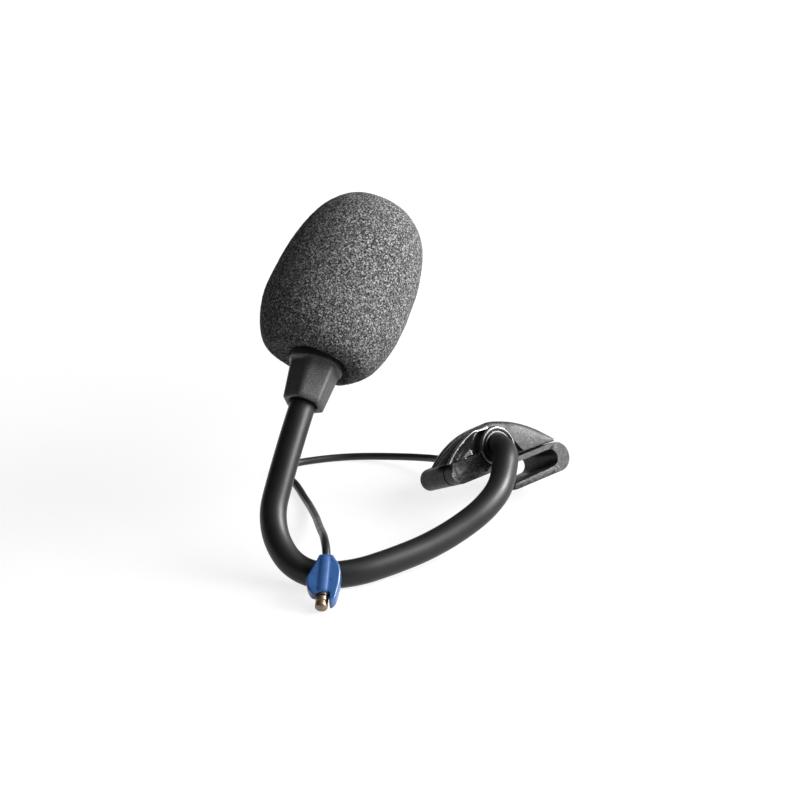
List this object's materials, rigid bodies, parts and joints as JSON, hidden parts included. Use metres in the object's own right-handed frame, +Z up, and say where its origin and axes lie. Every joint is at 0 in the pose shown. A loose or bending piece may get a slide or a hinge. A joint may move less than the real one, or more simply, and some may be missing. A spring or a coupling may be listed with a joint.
{
  "type": "gooseneck boom microphone",
  "caption": "Bendable rubber-covered boom with an egg-shaped foam windscreen at one end, and at the other a swivelling clothing clip and a thin cord that ends in a blue plug.",
  "frame": {"origin": "on the table, under the middle of the bounding box of everything but the free cord and its plug", "axes": "+Z up from the table; +X from the windscreen towards the clip; +Y from the boom's lowest bend back towards the clip and the windscreen"},
  "size_m": [0.0797, 0.097, 0.0821],
  "materials": {
    "boom_rubber": "satin",
    "steel": "satin",
    "cable": "satin",
    "ferrule_metal": "satin",
    "gland_rubber": "matte",
    "cord_rubber": "satin",
    "plug_blue": "gloss",
    "insulator": "satin",
    "contact_brass": "satin",
    "neck_plastic": "satin",
    "housing_metal": "satin",
    "isolator_rubber": "matte",
    "capsule_metal": "satin",
    "board": "satin",
    "grille_metal": "satin",
    "clip_gloss": "gloss",
    "clip_satin": "satin",
    "bush_plastic": "satin",
    "washer_rubber": "matte",
    "screw_steel": "satin",
    "foam": "matte"
  },
  "bodies": {
    "boom": {"boom_sheath": "boom_rubber", "boom_core": "steel", "boom_lead": "cable", "root_ferrule": "ferrule_metal", "retaining_ring": "steel", "cord_gland": "gland_rubber", "cord": "cord_rubber", "plug_body": "plug_blue", "plug_ring": "insulator", "plug_tip": "contact_brass", "neck": "neck_plastic", "capsule_cup": "housing_metal", "capsule_isolator": "isolator_rubber", "capsule": "capsule_metal", "capsule_board": "board", "capsule_grille": "grille_metal"},
    "clip": {"clip_bezel": "clip_gloss", "clip_cover": "clip_satin", "clip_base": "clip_satin", "clip_cap": "clip_satin", "swivel_bush": "bush_plastic", "friction_washer": "washer_rubber", "cover_screw_front": "screw_steel", "cover_screw_back": "screw_steel"},
    "jaw": {"clip_jaw": "clip_satin"},
    "windscreen": {"windscreen": "foam"}
  },
  "joints": [
    {"name": "clip_swivel", "type": "hinge", "parent": "boom", "child": "clip", "pos_m": [0.01656, 0.01858, 0.01431], "axis": [-0.4912, 0.7541, -0.436], "continuous": true},
    {"name": "jaw_flex", "type": "hinge", "parent": "clip", "child": "jaw", "pos_m": [0.03222, 0.02335, 0.00491], "axis": [0.4912, -0.7541, 0.436], "range_deg": [0, 10], "stiffness_Nm_per_rad": 0.03},
    {"name": "windscreen_slide", "type": "slide", "parent": "boom", "child": "windscreen", "axis": [0.2745, 0.6685, 0.6912], "range_m": [0, 0.04]}
  ]
}
